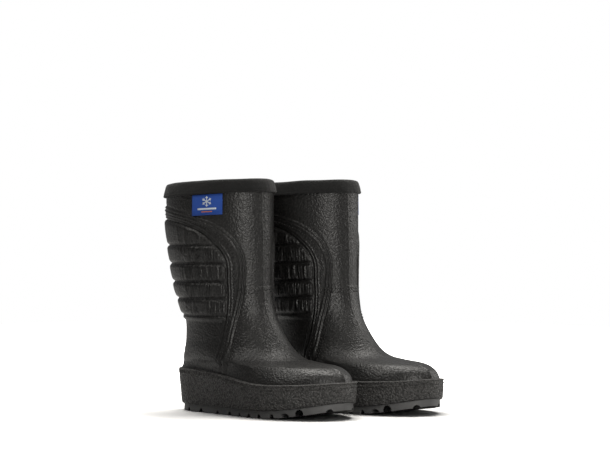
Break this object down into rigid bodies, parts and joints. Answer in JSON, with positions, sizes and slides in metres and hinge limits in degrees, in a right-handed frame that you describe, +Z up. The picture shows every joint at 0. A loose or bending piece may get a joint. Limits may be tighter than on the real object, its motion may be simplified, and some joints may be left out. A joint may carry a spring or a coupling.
{
  "type": "insulated pull-on boots",
  "caption": "Pair of children's insulated pull-on winter boots: moulded foam uppers with padded calf ribs, cupped lugged soles, textile cuffs, knit linings and loose felt insoles.",
  "frame": {"origin": "middle of the floor under the pair, at the centre of its bounding box", "axes": "+Z up, -Y towards the toes, +X towards the wearer's left boot"},
  "size_m": [0.1974, 0.25, 0.222],
  "materials": {
    "tread_rubber": "smooth satin rubber",
    "sole_foam": "pebbled moulded foam",
    "moulded_upper": "fine leather grain, satin",
    "knit_lining": "brushed knit",
    "fibre_board": "pressed fibre",
    "felt": "felt",
    "cuff_textile": "matte woven textile",
    "woven_label": "woven label with a plain snow emblem"
  },
  "bodies": {
    "right_boot": {"right_outsole": "tread_rubber", "right_sole_wall": "sole_foam", "right_upper_shell": "moulded_upper", "right_lining": "knit_lining", "right_insole_board": "fibre_board", "right_cuff": "cuff_textile"},
    "right_insole": {"right_insole": "felt"},
    "right_label": {"right_label": "woven_label"},
    "left_boot": {"left_outsole": "tread_rubber", "left_sole_wall": "sole_foam", "left_upper_shell": "moulded_upper", "left_lining": "knit_lining", "left_insole_board": "fibre_board", "left_cuff": "cuff_textile"},
    "left_insole": {"left_insole": "felt"},
    "left_label": {"left_label": "woven_label"}
  },
  "joints": [
    {"name": "left_boot_lift", "type": "slide", "parent": "right_boot", "child": "left_boot", "axis": [0, 0, 1], "range_m": [0, 0.25]},
    {"name": "right_insole_lift", "type": "hinge", "parent": "right_boot", "child": "right_insole", "pos_m": [-0.0485, -0.08125, 0.0215], "axis": [1, 0, 0], "range_deg": [0, 3.5]},
    {"name": "right_label_flap", "type": "hinge", "parent": "right_boot", "child": "right_label", "pos_m": [-0.09028, 0.03888, 0.20693], "axis": [-0.3609, 0.9313, -0.0494], "range_deg": [0, 80]},
    {"name": "left_insole_lift", "type": "hinge", "parent": "left_boot", "child": "left_insole", "pos_m": [0.0485, -0.10175, 0.0215], "axis": [1, 0, 0], "range_deg": [0, 3.5]},
    {"name": "left_label_flap", "type": "hinge", "parent": "left_boot", "child": "left_label", "pos_m": [0.09028, 0.01838, 0.20693], "axis": [-0.3609, -0.9313, 0.0494], "range_deg": [0, 80]}
  ]
}
